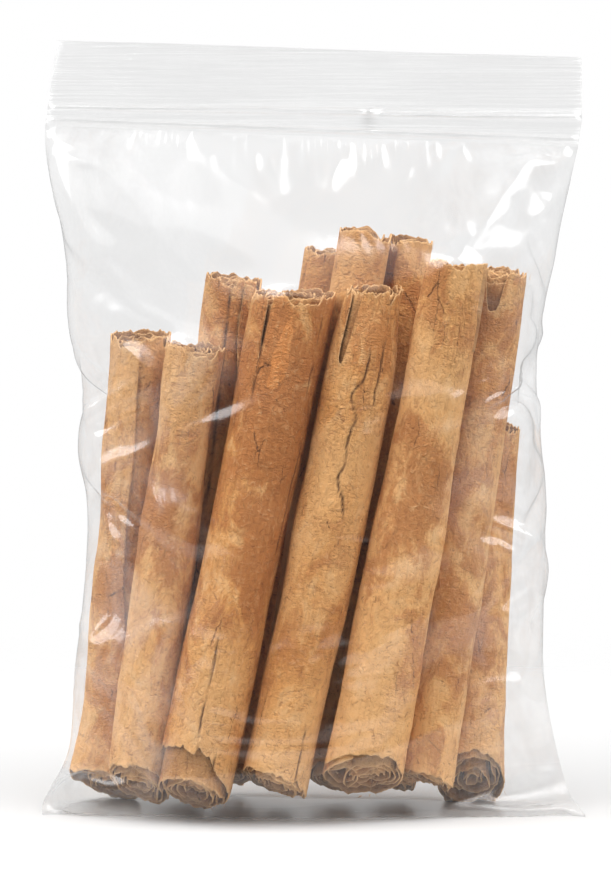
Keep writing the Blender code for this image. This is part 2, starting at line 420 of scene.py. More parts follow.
@dataclass
class Quill:
    """One rolled cinnamon quill.

    The sheet's free edge lies at the seam angle, counted in degrees from the front towards
    the right. A cut's slope says how much higher it is at the back than at the front, and
    its fall how much lower it is for each millimetre to the right.
    """

    name: str
    foot: tuple
    head: tuple
    height: float
    radius: float
    seed: int
    seam: float = 150.0
    twist: float = 0.0
    winding: Winding = Winding.RIGHT
    lift: float = 0.8
    foot_slope: float = -0.6
    foot_fall: float = 0.25
    head_slope: float = 0.07
    head_fall: float = 0.12
    turns: float = 6.2
    core: float = 1.2
    layer: float = 0.36
    pitch: float = 0.92
    ragged: float = 1.1
    swell: float = 0.0
    flare: float = 0.0
    neck: float = 0.0  # how much narrower the last of the head is
    flap: float = 0.0  # how far the outer layer opens to the left at the foot
    flatness: float = 0.04
    mottling: float = 0.5
    amber: float = 0.5
    crackle: float = 0.5
    cracks: tuple = ()
    notches: tuple = ()
    stains_and_foot_light: tuple = ()
    rolls: tuple = ()
    broken_left: float = 0.0
    broken_right: float = 0.0
    fibres: int = 36
    fine: bool = True

    COLUMN = 0.32
    ROW = 0.80
    LAP = 1.12
    MOUTH = (0.25, 0.8, 1.8, 3.5, 6.0, 9.5, 14.0, 19.0)

    def __post_init__(self) -> None:
        """Work out the quill's axis and the two directions across it."""
        low = Vector((*self.foot, 0.0))
        self.axis = (Vector((*self.head, self.height)) - low).normalized()
        self.length = (Vector((*self.head, self.height)) - low).length
        self.right = (Vector((1, 0, 0)) - self.axis * self.axis.x).normalized()
        self.front = self.right.cross(self.axis)
        self.start = low
        self.grain = Grain(self.seed)
        self.fine_grain = Grain(self.seed + 500)
        if not self.rolls:
            self.rolls = (Roll(0.0, 0.0, self.radius, self.turns, self.seam, self.LAP - 0.02,
                               self.core, self.pitch, self.winding.value),)

    def _sheet(self, surface: Surface, roll: Roll, whole: bool) -> None:
        """Add a rolled sheet: the full length of the outer layer, or both mouths of a roll."""
        column = self.COLUMN if self.fine else 2 * self.COLUMN
        end = self.LAP if whole else roll.turns
        span = 2 * math.pi * roll.radius * (end - roll.begin) * (1.0 if whole else 0.45)
        turn = np.linspace(roll.begin, end, max(int(span / column), 8))
        mean = np.maximum(roll.radius - roll.pitch * turn, roll.core)
        around = np.concatenate([[0], np.cumsum(np.diff(turn) * 2 * np.pi * mean[1:])])
        around += 2 * np.pi * roll.radius * roll.begin + 20 * roll.side
        if whole:
            self._grid(surface, roll, turn, around, self._rows(True), whole=True)
            return
        for at_head in (False, True):
            rows = [row for row in self._rows(False) if row[3] == at_head]
            self._grid(surface, roll, turn, around, rows, whole=False)

    def _rows(self, whole: bool) -> list:
        """Return the sheet's rows: share of the length, depth, depth of layer and which end."""
        rows = [(0.0, depth, 1.0, False) for depth in reversed(self.MOUTH)]
        rows += [(0.0, 0.0, 1.0, False), (0.0, -0.08, 0.5, False), (0.0, 0.0, 0.0, False)]
        if whole:
            count = int(self.length / (self.ROW if self.fine else 2 * self.ROW))
            ease = np.linspace(0, 1, count)
            ease = ease - 0.10 * np.sin(2 * np.pi * ease)
            rows += [(share, 0.0, 0.0, share > 0.5) for share in ease[1:-1]]
        else:
            rows += [(0.0, depth, 0.0, False) for depth in self.MOUTH]
            rows += [(1.0, -depth, 0.0, True) for depth in reversed(self.MOUTH)]
        rows += [(1.0, 0.0, 0.0, True), (1.0, 0.08, 0.5, True), (1.0, 0.0, 1.0, True)]
        rows += [(1.0, -depth, 1.0, True) for depth in self.MOUTH]
        return rows

    def _grid(self, surface: Surface, roll: Roll, turn: np.ndarray, around: np.ndarray,
              rows: list, whole: bool) -> None:
        """Add one grid of a sheet, from its turns and its rows."""
        share, depth, layer, _ = (np.array(part, dtype=float)[:, None] for part in zip(*rows))
        if whole:
            turn = np.concatenate([[turn[0]], turn])
            around = np.concatenate([[around[0] - self.layer], around])
        angle = math.radians(roll.seam) + roll.way * 2 * np.pi * turn
        foot_end, head_end = self._ends(roll, turn, angle, around, whole)
        along = foot_end + (head_end - foot_end) * share + depth
        angle = angle + math.radians(self.twist) * along * (1.0 if whole else np.exp(-3 * turn))
        waver = 0.10 * self.grain.at(along / 14, np.full_like(along, 3.0))
        angle = angle + waver * np.exp(-6 * turn)
        radius, crack = self._radius(roll, turn, angle, around, along, whole)
        sunk = np.broadcast_to(layer * self.layer, radius.shape).copy()
        if whole:
            sunk[:, 0] = self.layer
        points = self._place(angle, radius - sunk, along, roll)
        ones = np.ones_like(radius)
        mouth = np.minimum(along - foot_end, head_end - along).clip(0)
        edge = np.where(np.abs(layer - 0.5) < 0.4, 1.0, 0.0) * ones
        edge = np.maximum(edge, 0.7 * np.exp(-mouth / 0.4))
        # painted shade: inner faces are darker, inner rolls too, and darker still deeper in each mouth
        inside = np.clip(layer + (0.0 if whole else 0.35), 0, 1) * ones
        deep = inside * np.clip((mouth - 0.3) / 2.6, 0, 1)
        if whole:
            edge[:, 0] = 0.5
        places = np.stack([around + 0 * along, along + 0 * around], axis=-1) + self.seed * 37.0
        surface.add_grid(points, places, {
            "crack": crack, "edge": edge, "inside": inside, "deep": deep,
            "stain": self._stain_and_foot_light_at(angle, along)})

    def _stain_and_foot_light_at(self, angle: np.ndarray, along: np.ndarray) -> np.ndarray:
        """Return how much redder, or paler below zero, each place is than the whole quill; paler near
        the feet is painted bounce light.
        """
        total = 0.0 * angle * along
        for patch in self.stains_and_foot_light:
            away = np.radians((np.degrees(angle) - patch.angle + 180) % 360 - 180) * self.radius
            reach = (away / patch.wide) ** 2 + ((along - patch.height) / patch.tall) ** 2
            total = total + patch.strength * np.exp(-reach)
        return total

    def _cut(self, reach: np.ndarray, across: np.ndarray) -> tuple:
        """Return the heights of the two clean cuts at places across the quill.

        Args:
            reach: Distance towards the back.
            across: Distance towards the right.
        """
        foot = self.lift + self.foot_slope * (reach - self.radius)
        foot = foot - self.foot_fall * (across - self.radius)
        head = self.height + self.head_slope * reach - self.head_fall * across
        return foot, head

    def _ends(self, roll: Roll, turn: np.ndarray, angle: np.ndarray, around: np.ndarray,
              whole: bool) -> tuple:
        """Return where each column of the sheet ends, at the foot and at the head."""
        radius = np.maximum(roll.radius - roll.pitch * turn, roll.core)
        reach = -np.cos(angle) * radius - roll.ahead
        across = np.sin(angle) * radius + roll.side
        rise = self.axis.z
        foot, head = self._cut(reach, across)
        tilt = across * self.right.z - reach * self.front.z
        foot = (foot - tilt) / rise
        head = (head - tilt) / rise
        rough_foot = self.grain.layered(around / 3.0, np.full_like(around, 7.5), 5)
        rough_head = self.grain.layered(around / 3.0, np.full_like(around, 90.5), 5)
        chunk = np.clip(self.fine_grain.at(around / 5.0, np.full_like(around, 40.5)) * 3 - 0.6, 0, 1)
        foot = foot + np.abs(rough_foot) * self.ragged * 1.2 + chunk * self.ragged * 1.4
        head = head - np.abs(rough_head) * self.ragged * 1.8 - chunk * self.ragged * 1.5
        if not whole:
            step = self.fine_grain.at(around / 9.0, np.full_like(around, 11.5))
            foot, head = foot + 1.2 * step - 0.2, head + 1.6 * step - 1.0
        for notch in self.notches:
            if not (whole or notch.through):
                continue
            away = (np.degrees(angle) - notch.angle + 180) % 360 - 180
            gap = np.exp(-np.abs(np.radians(away) * self.radius / notch.width) ** 4)
            if notch.at_head:
                head = head - gap * notch.depth
            else:
                foot = foot + gap * notch.depth
        stand = (0.15 - tilt) / rise
        if not whole:
            return np.maximum(foot, stand)[None, :], head[None, :]
        side = 0.5 + 0.5 * np.clip(across / self.radius, -1, 1)
        broken = self.broken_left + (self.broken_right - self.broken_left) * side
        foot = foot + broken * (1 + 0.35 * rough_foot)
        return np.maximum(foot, stand)[None, :], head[None, :]

    def _radius(self, roll: Roll, turn: np.ndarray, angle: np.ndarray, around: np.ndarray,
                along: np.ndarray, whole: bool) -> tuple:
        """Return the sheet's outer radius over the grid, and how deep each place is in a crack."""
        share = np.clip(along / self.length, 0, 1)
        base = roll.radius * (1 + self.swell * (0.5 - share))
        base = base * (1 + self.flatness * np.cos(2 * angle))
        base = base * (1 + self.flare * np.exp(-((along - self.lift).clip(0) / 5) ** 2))
        base = base * (1 - self.neck * np.exp(-((self.length - along).clip(0) / 13) ** 2))
        if whole:
            left = np.cos(angle + math.radians(75)).clip(0) ** 4
            base = base + self.flap * left * np.exp(-(along / 19) ** 2)
        inward = roll.pitch * turn
        loose = np.clip(turn - 0.5, 0, 3) if not whole else 0 * turn
        radius = np.maximum(base - inward, roll.core * (1 + 0.3 * np.cos(2 * angle + self.seed)))
        crush = self.grain.at(2 + 1.6 * np.cos(angle) + 0.35 * turn, 5 + 1.6 * np.sin(angle))
        radius = radius + 0.42 * np.minimum(loose, 2) * crush
        around = around + 0 * along
        relief = 0.26 * self.grain.layered(around / 5.5, along / 20, 3)
        relief += (0.15 if self.fine else 0.06) * self.fine_grain.layered(around / 1.6, along / 5, 3)
        lumps = self.grain.at(8 + 0.9 * np.cos(angle), along / 22)
        lumps = 0.34 * (lumps + self.grain.at(40 + 0.9 * np.sin(angle), along / 17))
        radius = radius + lumps + relief * (1.0 if whole else 0.5 + 0.7 * loose)
        crack = np.zeros_like(radius)
        if whole:
            for line in self.cracks:
                crack = np.maximum(crack, self._crack(line, angle, along))
        depth = max((line.depth for line in self.cracks), default=0.0)
        return radius - crack * depth, crack

    def _crack(self, line: Crack, angle: np.ndarray, along: np.ndarray) -> np.ndarray:
        """Return how deep each place of the outer layer is in one crack, from 0 to 1."""
        drift = line.wander * self.grain.layered(along / 9, np.full_like(along, line.angle), 4)
        away = (np.degrees(angle) - line.angle + 180) % 360 - 180
        gap = np.abs(np.radians(away) * self.radius - drift)
        fade = np.clip((along - line.start) / 4, 0, 1) * np.clip((line.end - along) / 4, 0, 1)
        width = line.width * (0.4 + fade)
        broken = np.clip(self.fine_grain.at(along / 5, np.full_like(along, line.angle)) + 0.9, 0, 1)
        return np.clip(1.25 - gap / width, 0, 1) * fade * broken

    def _place(self, angle: np.ndarray, radius: np.ndarray, along: np.ndarray,
               roll: Roll) -> np.ndarray:
        """Return places in the bag's frame from angle, radius and distance along the quill."""
        bow = 0.5 * np.sin(np.pi * np.clip(along / self.length, 0, 1)) * math.sin(self.seed)
        side = np.sin(angle) * radius + bow + roll.side
        ahead = np.cos(angle) * radius + roll.ahead
        parts = [self.start[k] + self.axis[k] * along + self.right[k] * side + self.front[k] * ahead
                 for k in range(3)]
        return np.stack(parts, axis=-1)

    def _fray(self, surface: Surface) -> None:
        """Add loose fibres that stick out of both cut ends."""
        rng = np.random.default_rng(self.seed + 900)
        step = np.linspace(0, 1, 6)[:, None]
        for _ in range(self.fibres):
            at_head = rng.random() < 0.5
            angle, inward = rng.uniform(0, 2 * np.pi), rng.choice([0.0, 0.9, 1.9, 2.8])
            roll = self.rolls[rng.integers(len(self.rolls))]
            if inward == 0.0 or len(self.rolls) == 1:
                roll = Roll(0.0, 0.0, self.radius, 1.0, 0.0)
            spare = (1 - self.swell / 2) * (1 - self.neck) if at_head else 1 + self.swell / 2
            radius = max(roll.radius * spare - inward, 1.5)
            foot, head = self._cut(-np.cos(angle) * radius - roll.ahead,
                                   np.sin(angle) * radius + roll.side)
            for notch in self.notches:
                away = (np.degrees(angle) - notch.angle + 180) % 360 - 180
                if at_head and abs(np.radians(away) * radius) < 1.4 * notch.width:
                    head -= notch.depth
            length, width = rng.uniform(0.7, 2.4), rng.uniform(0.05, 0.12)
            lean, curl, swerve = rng.uniform(-0.3, 1.3), rng.uniform(-0.4, 1.6), rng.uniform(-1, 1)
            way = 1.0 if at_head else -0.7
            tilt = np.sin(angle) * radius * self.right.z + np.cos(angle) * radius * self.front.z
            base = ((head if at_head else foot) - tilt) / self.axis.z - way * 2.0
            along = base + way * length * (step - 0.25 * curl * step**2)
            if not at_head:
                along = np.maximum(along, base - 1.6)
                along = along + max((0.3 - tilt) / self.axis.z - along.min(), 0.0)
            spread = np.array([[-width, width]]) * (1.1 - step) / radius
            turn = angle + spread + swerve * length * step**2 / radius
            out = radius + 0.1 + lean * length * step**2 * 0.5 + 0 * spread
            points = self._place(turn, out, along + 0 * spread, roll)
            places = np.stack([spread * radius + angle * 9, along + 0 * spread], axis=-1)
            flat = np.zeros_like(spread)
            surface.add_grid(points, places, {
                "crack": flat, "edge": flat + 0.9, "inside": flat, "deep": flat, "stain": flat})

    def solid(self) -> "Solid":
        """Return what the film rests on in this quill's place."""
        foot = Vector((-self.foot_fall, self.foot_slope, -1)).normalized()
        head = Vector((self.head_fall, -self.head_slope, 1)).normalized()
        low, _ = self._cut(0.0, 0.0)
        foot_point = Vector((*self.foot, low))
        head_point = Vector((*self.head, self.height))
        return Solid(np.array(self.start), np.array(self.axis), self.radius, np.array(foot),
                     foot.dot(foot_point), np.array(head), head.dot(head_point), self.height)

    def build(self) -> bpy.types.Object:
        """Build and dress the quill."""
        surface = Surface()
        outer = Roll(0.0, 0.0, self.radius, self.LAP, self.seam, 0.0, self.core, self.pitch,
                     self.winding.value)
        self._sheet(surface, outer, whole=True)
        for roll in self.rolls:
            self._sheet(surface, roll, whole=False)
        self._fray(surface)
        finish = BarkFinish(f"bark_{self.name}", mottling=self.mottling, amber_share=self.amber,
                            crackle=self.crackle, shift=self.seed * 3.1)
        made = surface.make(self.name, finish.material())
        LOG.info("%s: %d faces", self.name, len(made.data.polygons))
        return made


def quills() -> list:
    """Return the twelve quills: seven in front from left to right, and five behind them."""
    left, right = Winding.LEFT, Winding.RIGHT
    # stains below zero near the feet of the front quills are painted bounce light from the floor; the
    # rest are the bark's own colour
    return [
        Quill("quill_front_1", (-46, 7), (-38.6, 6), 111, 7.5, 11, seam=5, winding=left, flap=4.6,
              lift=-2.2, head_slope=0.10, head_fall=0.0, turns=4.2, core=2.2, mottling=0.35, amber=0.35,
              stains_and_foot_light=(StainAndFootLight(50, 26, 0.6), StainAndFootLight(12, 14, 0.4)),
              notches=(Notch(-25, 2.6, 2.2), Notch(60, 1.2, 2.8))),
        Quill("quill_front_2", (-40, -7.5), (-25.5, -4.5), 109, 7.8, 12, seam=120,
              lift=-0.6, foot_fall=0.4, mottling=0.6, amber=0.45, swell=0.12,
              stains_and_foot_light=(StainAndFootLight(100, 9, -1.1), StainAndFootLight(72, 16, 0.5), StainAndFootLight(20, 16, -0.6))),
        Quill("quill_front_3", (-27.8, -15.2), (-2.6, -4.5), 121, 9.5, 13, seam=-150, swell=-0.1,
              mottling=0.70, amber=0.75, crackle=0.7, ragged=1.1, broken_left=7.5,
              broken_right=0.5, lift=-1.5, foot_fall=0.28, head_fall=0.0, pitch=1.05, fibres=80,
              stains_and_foot_light=(StainAndFootLight(100, 20, 0.7), StainAndFootLight(64, 14, 1.0, 22, 7), StainAndFootLight(24, 24, -1.2)),
              cracks=(Crack(-8, 4, 46), Crack(22, 2, 20), Crack(60, 62, 92),
                      Crack(-34, 96, 121, 0.3), Crack(48, 100, 121)),
              notches=(Notch(-33, 0.55, 12), Notch(30, 1.6, 1.6))),
        Quill("quill_front_4", (-9.4, -15.3), (15.7, -6.5), 122, 8.7, 14, seam=170, neck=0.2,
              mottling=0.25, amber=0.45, lift=2.4, foot_slope=-0.35, foot_fall=0.40, crackle=0.3,
              stains_and_foot_light=(StainAndFootLight(114, 9, 0.8), StainAndFootLight(46, 16, 0.4), StainAndFootLight(14, 14, -0.9)), ragged=1.5,
              head_fall=0.05,
              cracks=(Crack(5, 70, 112, 0.24, 0.3, 2.2), Crack(28, 2, 26, 0.18),
                      Crack(30, 96, 120, 0.2, 0.3, 1.5)),
              notches=(Notch(-40, 1.6, 16), Notch(40, 1.2, 1.8))),
        Quill("quill_front_5", (10.2, -14.5), (34.3, -8.5), 128, 7.9, 15, seam=-62, twist=-0.4,
              mottling=0.5, amber=0.45, head_fall=0.16, swell=0.28, flatness=-0.08,
              ragged=0.8, lift=4.2, foot_slope=-0.82, foot_fall=-0.05, fibres=60, pitch=1.0,
              stains_and_foot_light=(StainAndFootLight(76, 18, 0.8), StainAndFootLight(106, 12, -0.5), StainAndFootLight(25, 20, -0.5)),
              rolls=(Roll(2.2, 0.0, 5.4, 4.0, 60, core=1.5, pitch=1.05),
                     Roll(-4.4, 0.0, 3.1, 1.3, 150, core=1.8, pitch=0.7, way=-1))),
        Quill("quill_front_6", (26, -7.5), (44.5, 2.5), 126, 7.5, 16, seam=170,
              mottling=0.45, amber=0.4, lift=3.6, foot_slope=-0.3, foot_fall=0.34,
              stains_and_foot_light=(StainAndFootLight(60, 26, 0.5), StainAndFootLight(118, 8, 0.5, -30)), notches=(Notch(-8, 2.0, 9),)),
        Quill("quill_front_7", (38.0, 2.5), (43.5, 16), 89, 8.2, 17, seam=140,
              mottling=0.5, amber=0.35, lift=-3.2, foot_slope=-1.05, turns=6.4, pitch=1.28,
              layer=0.28, foot_fall=0.1, ragged=1.4, swell=0.14, flare=0.12, fibres=110,
              stains_and_foot_light=(StainAndFootLight(70, 12, 0.6), StainAndFootLight(40, 10, 0.4), StainAndFootLight(12, 12, -0.5))),
        Quill("quill_back_1", (-32, 7.5), (-17.4, 12.5), 124, 7.4, 21, seam=25, fine=False,
              cracks=(Crack(-4, 60, 124, 0.25, 0.35, 0.5),), stains_and_foot_light=(StainAndFootLight(110, 20, 0.4),)),
        Quill("quill_back_2", (-19, 12.5), (5, 18.5), 130, 6.2, 22, fine=False),
        Quill("quill_back_3", (-9.5, 0.5), (14.0, 7), 135.5, 6.8, 23, fine=False, seam=-120,
              head_fall=0.0, ragged=0.7, mottling=0.3,
              notches=(Notch(50, 4.4, 2.9, through=True), Notch(130, 4.4, 2.9, through=True))),
        Quill("quill_back_4", (5, 4), (23.8, 13), 133, 6.3, 24, fine=False, seam=-20),
        Quill("quill_back_5", (19.5, 6), (28.5, 17), 108, 6.4, 25, fine=False, foot_slope=-0.4),
    ]


# ---------------------------------------------------------------- film


@dataclass(frozen=True)
class Solid:
    """What the film rests on: a round bar between two oblique cuts, in millimetres."""

    start: np.ndarray
    axis: np.ndarray
    radius: float
    foot_normal: np.ndarray
    foot_level: float
    head_normal: np.ndarray
    head_level: float
    height: float

    def push_out(self, points: np.ndarray, gap: float) -> None:
        """Move points that are inside, or closer than the gap, to the nearest of its faces."""
        away = points - self.start
        along = away @ self.axis
        across = away - along[:, None] * self.axis
        distance = np.linalg.norm(across, axis=1)
        depths = np.stack([distance - self.radius - gap,
                           points @ self.foot_normal - self.foot_level - gap,
                           points @ self.head_normal - self.head_level - gap])
        nearest = depths.argmax(axis=0)
        deepest = depths.max(axis=0)
        inside = deepest < 0
        round_side = inside & (nearest == 0)
        unit = across[round_side] / distance[round_side, None].clip(1e-6)
        points[round_side] -= deepest[round_side, None] * unit
        for face, normal in ((1, self.foot_normal), (2, self.head_normal)):
            chosen = inside & (nearest == face)
            points[chosen] -= deepest[chosen, None] * normal

    def middle(self, z: float) -> tuple:
        """Return where the bar's axis is at a height, or at its head above that."""
        share = min(z, self.height) / self.axis[2]
        return self.start[0] + self.axis[0] * share, self.start[1] + self.axis[1] * share


# Height and place of each side seam: it is drawn in at the quills, and flares at both ends
LEFT_SEAM = ((0, -63.6), (3, -62), (9, -57.7), (14, -55.4), (33, -54.5), (50, -52),
             (66, -51.3), (96, -52.2), (119, -53.1), (142, -58.2), (153, -61.4), (160, -60.7),
             (178.6, -58.0))
RIGHT_SEAM = ((0, 63.6), (8, 61), (17, 57.7), (27, 55.4), (38, 54.3), (61, 55.4),
              (84, 53.8), (96, 52.9), (119, 55), (142, 59.6), (153, 62.3), (160, 63.3))
SEAM_FOOT_Y = -2.5  # where the side seams meet the floor
SEAM_LEAN = 0.06  # how far the seams lean back for each millimetre of height
ZIP_FOOT = (159.0, 154.0)  # height of the header's foot at its left and right end


def seam_y(z: np.ndarray) -> np.ndarray:
    """Return how far back the bag's middle plane lies at a height."""
    return SEAM_FOOT_Y + SEAM_LEAN * z


@dataclass
class TightWrap:
    """The film drawn tight round the quills and both side seams, ring by ring.

    Above a quill's head the film runs straight to the zip, so there the quill's circle
    shrinks as it moves out to each end of the zip.
    """

    solids: list
    columns: int
    gap: float = 0.6
    levels: int = 72
    arc: int = 24
    tilt_start: float = 120.0

    def __post_init__(self) -> None:
        """Draw the film tight at every level."""
        self.top = sum(ZIP_FOOT) / 2
        self.heights = np.linspace(0, self.top, self.levels)
        self.across = np.linspace(-66, 66, 133)
        self.rings, fronts, backs = [], [], []
        for z in self.heights:
            points = self._outlines(z)
            front, back = self._chain(points, 1), self._chain(points, -1)
            half = self.columns // 2
            run = np.concatenate([self._spread(front, half), self._spread(back, half)[::-1][1:-1]])
            self.rings.append(np.column_stack([run, np.full(len(run), z)]))
            fronts.append(np.interp(self.across, *front.T))
            backs.append(np.interp(self.across, *back.T))
        self.rings = np.array(self.rings)
        self.fronts, self.backs = np.array(fronts), np.array(backs)

    def _outlines(self, z: float) -> list:
        """Return the points that the film is drawn round at a height."""
        turn = np.linspace(0, 2 * np.pi, self.arc, endpoint=False)
        unit = np.column_stack([np.cos(turn), np.sin(turn)])
        ends = [(np.interp(z, *zip(*profile)), seam_y(z)) for profile in (LEFT_SEAM, RIGHT_SEAM)]
        points = [unit * 0.3 + end for end in ends]
        for solid in self.solids:
            radius = solid.radius + self.gap
            if z <= solid.height:
                points.append(unit * radius + solid.middle(z))
                continue
            share = (z - solid.height) / (self.top - solid.height)
            for profile in (LEFT_SEAM, RIGHT_SEAM):
                end = np.array([np.interp(self.top, *zip(*profile)), seam_y(self.top)])
                centre = (1 - share) * np.array(solid.middle(z)) + share * end
                points.append(unit * radius * (1 - share) + centre)
        points = np.concatenate(points)
        points[:, 0] = points[:, 0].clip(ends[0][0] - 0.3, ends[1][0] + 0.3)
        return points.tolist()

    @staticmethod
    def _chain(points: list, sign: int) -> np.ndarray:
        """Return one side of the points' convex hull, from its left end to its right end.

        Args:
            points: The points to go round.
            sign: 1 for the side towards -Y, -1 for the side towards +Y.
        """
        run = []
        for point in sorted(points):
            while len(run) > 1:
                (ax, ay), (bx, by) = run[-2], run[-1]
                if sign * ((bx - ax) * (point[1] - ay) - (by - ay) * (point[0] - ax)) > 0:
                    break
                run.pop()
            run.append(point)
        return np.array(run)

    @staticmethod
    def _spread(run: np.ndarray, steps: int) -> np.ndarray:
        """Return points at even distances along a run, both ends included."""
        far = np.concatenate([[0.0], np.cumsum(np.linalg.norm(np.diff(run, axis=0), axis=1))])
        places = np.linspace(0.0, far[-1], steps + 1)
        return np.column_stack([np.interp(places, far, run[:, k]) for k in range(run.shape[1])])

    def tilted(self, points: np.ndarray) -> np.ndarray:
        """Return points whose upper levels follow the slope of the zip."""
        turn = ((points[..., 2] - self.tilt_start) / (self.top - self.tilt_start)).clip(0, 1)
        slope = (ZIP_FOOT[1] - ZIP_FOOT[0]) / (RIGHT_SEAM[-1][1] - LEFT_SEAM[-2][1])
        points[..., 2] += turn**2 * slope * points[..., 0]
        return points

    def sheet(self, rows: int) -> tuple:
        """Return the tight film from the bottom fold to the zip, and each column's length."""
        half = self.columns // 2
        share = np.concatenate([np.arange(half + 1), np.arange(half - 1, 0, -1)]) / half
        fold = np.column_stack([-63.6 + 127.2 * share, np.full(len(share), SEAM_FOOT_Y),
                                np.zeros(len(share))])
        paths = self.tilted(np.concatenate([fold[None], self.rings]))
        columns = [self._spread(paths[:, column], rows) for column in range(self.columns)]
        lengths = [np.linalg.norm(np.diff(paths[:, column], axis=0), axis=1).sum()
                   for column in range(self.columns)]
        points = np.stack(columns, axis=1)
        side = np.where(np.arange(self.columns) <= half, -1, 1)
        z = ZIP_FOOT[0] + (ZIP_FOOT[1] - ZIP_FOOT[0]) * share
        left, right = np.interp(ZIP_FOOT[0], *zip(*LEFT_SEAM)), np.interp(ZIP_FOOT[1], *zip(*RIGHT_SEAM))
        points[-1] = np.column_stack([left + (right - left) * share, seam_y(z) + 0.05 * side, z])
        return points.astype(np.float32), np.array(lengths, np.float32)

    def reach(self, x: np.ndarray, z: np.ndarray, front: bool) -> np.ndarray:
        """Return the tight film's y at places on its front or back face."""
        table = self.fronts if front else self.backs
        row = (z / self.top * (self.levels - 1)).clip(0, self.levels - 1.001)
        column = (x - self.across[0]).clip(0, len(self.across) - 1.001)
        i, j = row.astype(int), column.astype(int)
        down, over = row - i, column - j
        low = table[i, j] * (1 - over) + table[i, j + 1] * over
        high = table[i + 1, j] * (1 - over) + table[i + 1, j + 1] * over
        return low * (1 - down) + high * down


@dataclass(frozen=True)
class Crease:
    """A sharp fold that stands proud of the film, between two places on its face (x, z)."""

    start: tuple
    end: tuple
    height: float = 1.1
    width: float = 1.6
    front: bool = True

    def rise(self, x: np.ndarray, z: np.ndarray, grain: Grain) -> np.ndarray:
        """Return how far the crease lifts the film at places on its face."""
        (x0, z0), (x1, z1) = self.start, self.end
        run = math.hypot(x1 - x0, z1 - z0)
        along_x, along_z = (x1 - x0) / run, (z1 - z0) / run
        along = (x - x0) * along_x + (z - z0) * along_z
        across = (x - x0) * along_z - (z - z0) * along_x
        across = across + 0.09 * run * np.sin(np.pi * (along / run).clip(0, 1) + x0)
        across = across + 0.5 * grain.at(along / 5, np.full_like(along, x0))
        share = (along / run).clip(0, 1)
        gap = np.hypot(across, along - share * run)
        swell = np.sin(np.pi * (0.1 + 0.8 * share))
        return self.height * swell * np.exp(-(gap / self.width) ** 1.4)


# The folds that handling and the pull of the header leave in the film
CREASES = (
    Crease((-60, 155), (-28, 112), 2.0, 3.6), Crease((-60, 152), (-44, 124), 1.6, 2.6),
    Crease((-57, 136), (-45, 118), 1.3, 2.0), Crease((-60, 157), (-48, 154), 0.7, 1.2),
    Crease((-59, 155), (-40, 148), 0.8, 1.6), Crease((-46, 124), (-35, 113), 1.1, 2.2),
    Crease((-43, 108), (-35, 103), 1.1, 1.6), Crease((-36, 88), (-47, 78), 1.5, 1.9),
    Crease((-45, 70), (-38, 64), 1.1, 1.4), Crease((-48, 75), (-42, 60), 1.1, 1.5),
    Crease((-50, 58), (-40, 60), 1.1, 1.7), Crease((-51, 98), (-48, 74), 1.2, 1.6),
    Crease((-50, 112), (-50, 92), 1.0, 1.5), Crease((-52, 50), (-48, 32), 1.2, 1.8),
    Crease((-50, 28), (-40, 20), 1.0, 1.6), Crease((-57, 10), (-40, 4), 1.2, 1.8),
    Crease((61, 153), (27, 127), 2.4, 4.4), Crease((58, 152), (43, 146), 1.0, 1.8),
    Crease((59, 147), (48, 128), 1.2, 2.2), Crease((36, 121), (43, 117), 1.0, 1.4),
    Crease((55, 120), (53, 98), 1.2, 1.5), Crease((51, 92), (54, 64), 1.3, 1.6),
    Crease((46, 84), (52, 70), 1.1, 1.6), Crease((42, 100), (50, 92), 0.9, 1.5),
    Crease((52, 58), (50, 36), 1.2, 1.7), Crease((44, 48), (52, 40), 1.0, 1.5),
    Crease((46, 34), (53, 26), 0.9, 1.5), Crease((60, 8), (40, 4), 1.2, 1.8),
    Crease((-21, 156), (-11, 138), 1.1, 3.6), Crease((-13, 157), (-7, 142), 1.2, 4.2),
    Crease((9, 154), (5, 143), 1.0, 2.8), Crease((25, 152), (15, 140), 1.1, 3.0),
    Crease((55, 150), (28, 122), 2.0, 4.0, False), Crease((-55, 150), (-20, 122), 2.0, 4.0, False),
    Crease((50, 100), (40, 50), 1.2, 3.0, False), Crease((-50, 90), (-36, 60), 1.3, 2.4, False),
    Crease((-48, 50), (-30, 30), 1.2, 2.2, False), Crease((47, 110), (34, 96), 1.0, 2.0, False),
)


